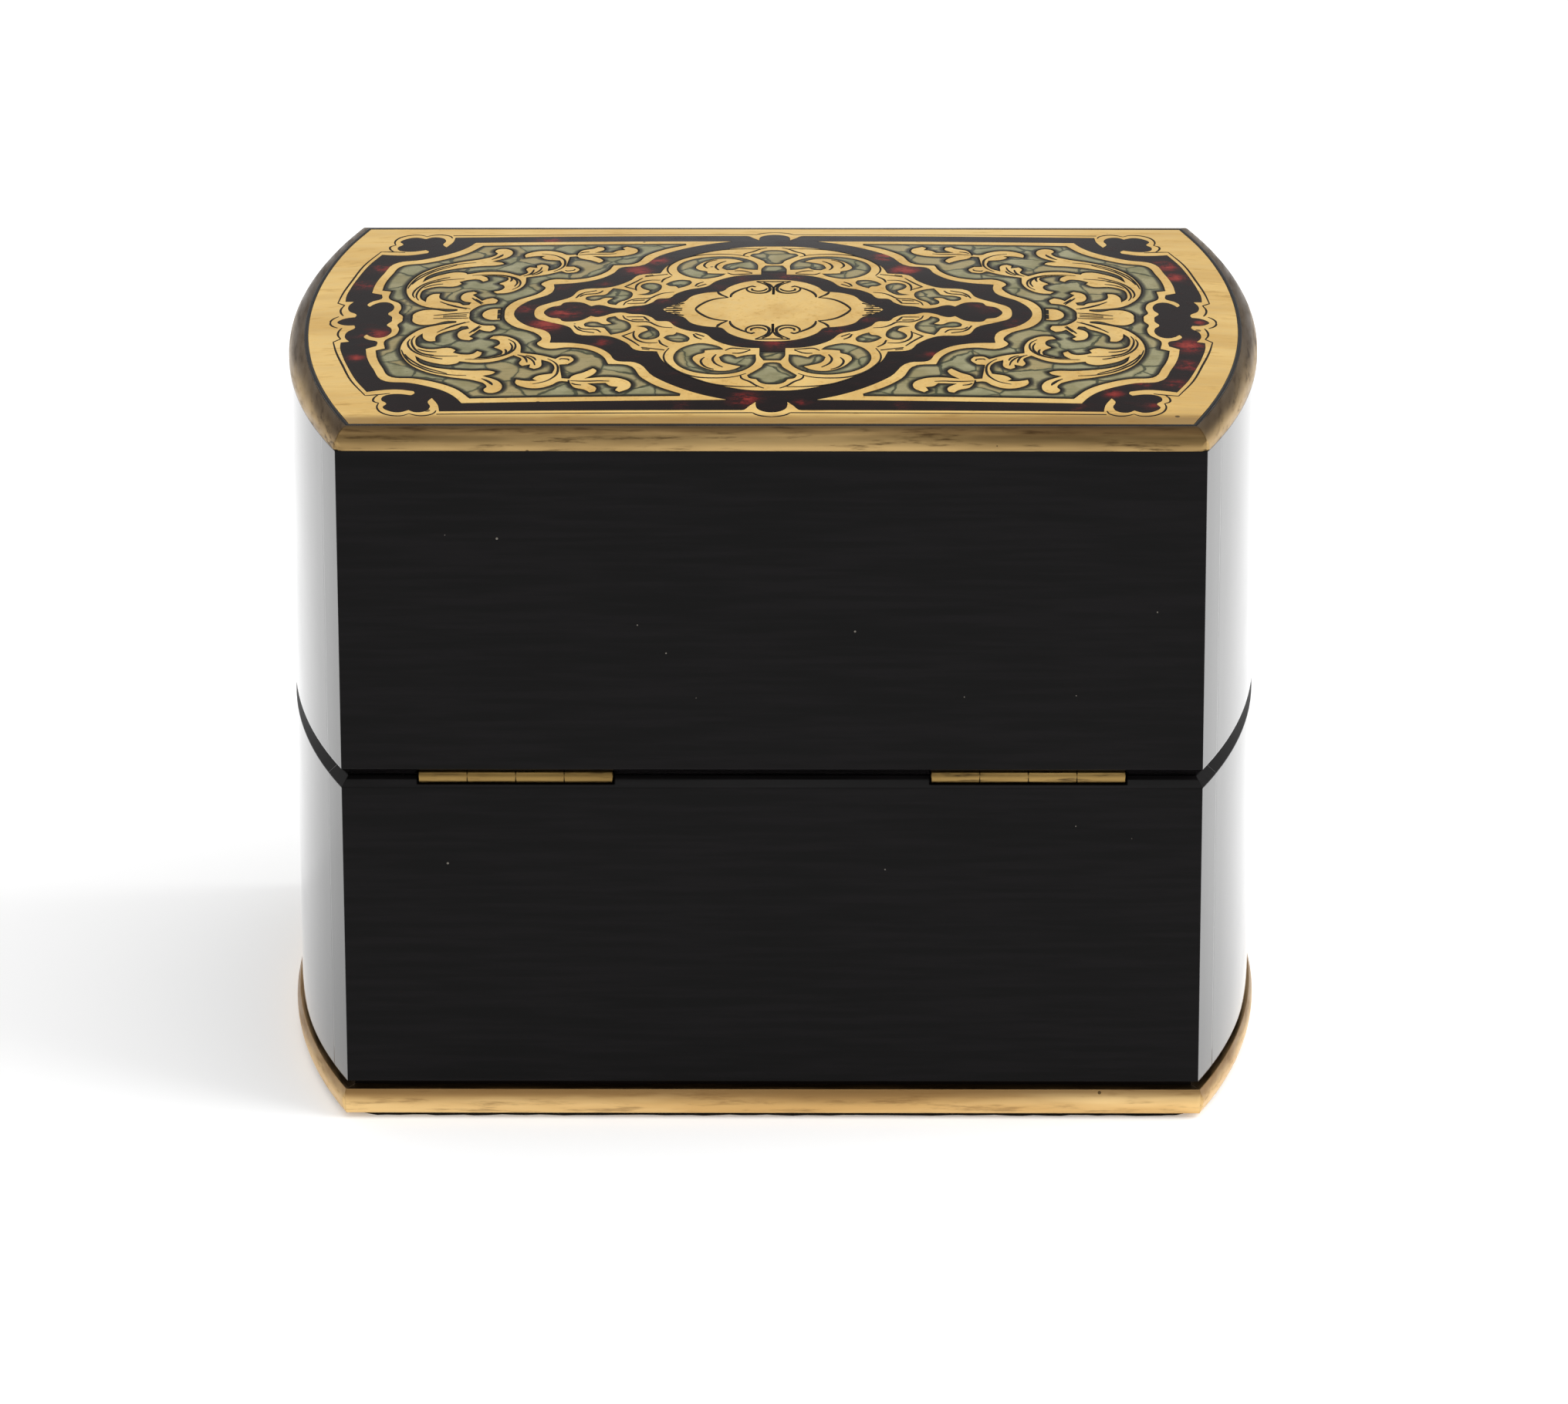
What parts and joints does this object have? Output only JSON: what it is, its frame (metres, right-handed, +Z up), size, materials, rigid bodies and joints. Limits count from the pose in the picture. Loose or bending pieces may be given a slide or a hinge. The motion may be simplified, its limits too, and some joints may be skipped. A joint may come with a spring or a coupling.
{
  "type": "perfume box",
  "caption": "Bow-ended perfume box with a deep hinged lid, domed brass and tortoiseshell marquetry top, brass mouldings and fitted crystal bottles.",
  "frame": {"origin": "on the floor under the middle of the box", "axes": "+Z up, -Y towards the front with the lock, +Y towards the back with the hinges, +X along the length"},
  "size_m": [0.1528, 0.0898, 0.1187],
  "materials": {
    "ebonised_wood": "ebonised pearwood veneer, french polished to a gloss",
    "tarnished_brass": "rolled brass moulding with brown tarnish",
    "engraved_brass": "sawn sheet brass, polished and engraved",
    "tortoiseshell": "tortoiseshell over red and black ground, polished",
    "stained_horn": "green stained horn with dark joints, polished",
    "rosewood": "polished rosewood",
    "crimson_velvet": "short pile velvet",
    "dark_felt": "dark wool felt",
    "cut_crystal": "clear cut crystal",
    "hinge_brass": "dark antique brass",
    "lock_steel": "filed steel"
  },
  "bodies": {
    "base": {"base_back_wall": "ebonised_wood", "base_bottom_board": "ebonised_wood", "base_felt": "dark_felt", "base_front_wall": "ebonised_wood", "base_left_end": "ebonised_wood", "base_right_end": "ebonised_wood", "base_screws": "hinge_brass", "bottle_deck": "rosewood", "bottle_dividers": "rosewood", "deck_rails": "rosewood", "floor_pad": "crimson_velvet", "foot_moulding_back": "tarnished_brass", "foot_moulding_front": "tarnished_brass", "foot_moulding_left": "tarnished_brass", "foot_moulding_right": "tarnished_brass", "keyhole_lining": "hinge_brass", "left_bottle": "cut_crystal", "left_hinge_base_leaf": "hinge_brass", "left_hinge_pin": "hinge_brass", "liner_back": "rosewood", "liner_front": "rosewood", "liner_left": "rosewood", "liner_right": "rosewood", "lock_case": "hinge_brass", "middle_bottle": "cut_crystal", "right_bottle": "cut_crystal", "right_hinge_base_leaf": "hinge_brass", "right_hinge_pin": "hinge_brass"},
    "lid": {"brass_border": "engraved_brass", "brass_cartouche": "engraved_brass", "brass_field": "engraved_brass", "horn_leaves": "stained_horn", "left_brass_fillet": "engraved_brass", "left_brass_foliage": "engraved_brass", "left_hinge_lid_leaf": "hinge_brass", "left_horn_ground": "stained_horn", "lid_back_wall": "ebonised_wood", "lid_catch": "hinge_brass", "lid_front_wall": "ebonised_wood", "lid_left_end": "ebonised_wood", "lid_lining": "crimson_velvet", "lid_right_end": "ebonised_wood", "lid_screws": "hinge_brass", "lid_staple": "hinge_brass", "lid_top_board": "ebonised_wood", "right_brass_fillet": "engraved_brass", "right_brass_foliage": "engraved_brass", "right_hinge_lid_leaf": "hinge_brass", "right_horn_ground": "stained_horn", "rim_moulding_back": "tarnished_brass", "rim_moulding_front": "tarnished_brass", "rim_moulding_left": "tarnished_brass", "rim_moulding_right": "tarnished_brass", "shell_frame": "tortoiseshell", "shell_ring": "tortoiseshell", "top_stringing": "ebonised_wood"},
    "lock_bolt": {"lock_bolt": "lock_steel"},
    "left_stopper": {"left_stopper": "cut_crystal"},
    "middle_stopper": {"middle_stopper": "cut_crystal"},
    "right_stopper": {"right_stopper": "cut_crystal"}
  },
  "joints": [
    {"name": "lid_hinge", "type": "hinge", "parent": "base", "child": "lid", "pos_m": [0, 0.0428, 0.0581], "axis": [-1, 0, 0], "range_deg": [0, 95]},
    {"name": "lock_bolt_throw", "type": "slide", "parent": "base", "child": "lock_bolt", "axis": [1, 0, 0], "range_m": [0, 0.0036]},
    {"name": "left_stopper_lift", "type": "slide", "parent": "base", "child": "left_stopper", "axis": [0, 0, 1], "range_m": [0, 0.0092]},
    {"name": "middle_stopper_lift", "type": "slide", "parent": "base", "child": "middle_stopper", "axis": [0, 0, 1], "range_m": [0, 0.0092]},
    {"name": "right_stopper_lift", "type": "slide", "parent": "base", "child": "right_stopper", "axis": [0, 0, 1], "range_m": [0, 0.0092]}
  ]
}
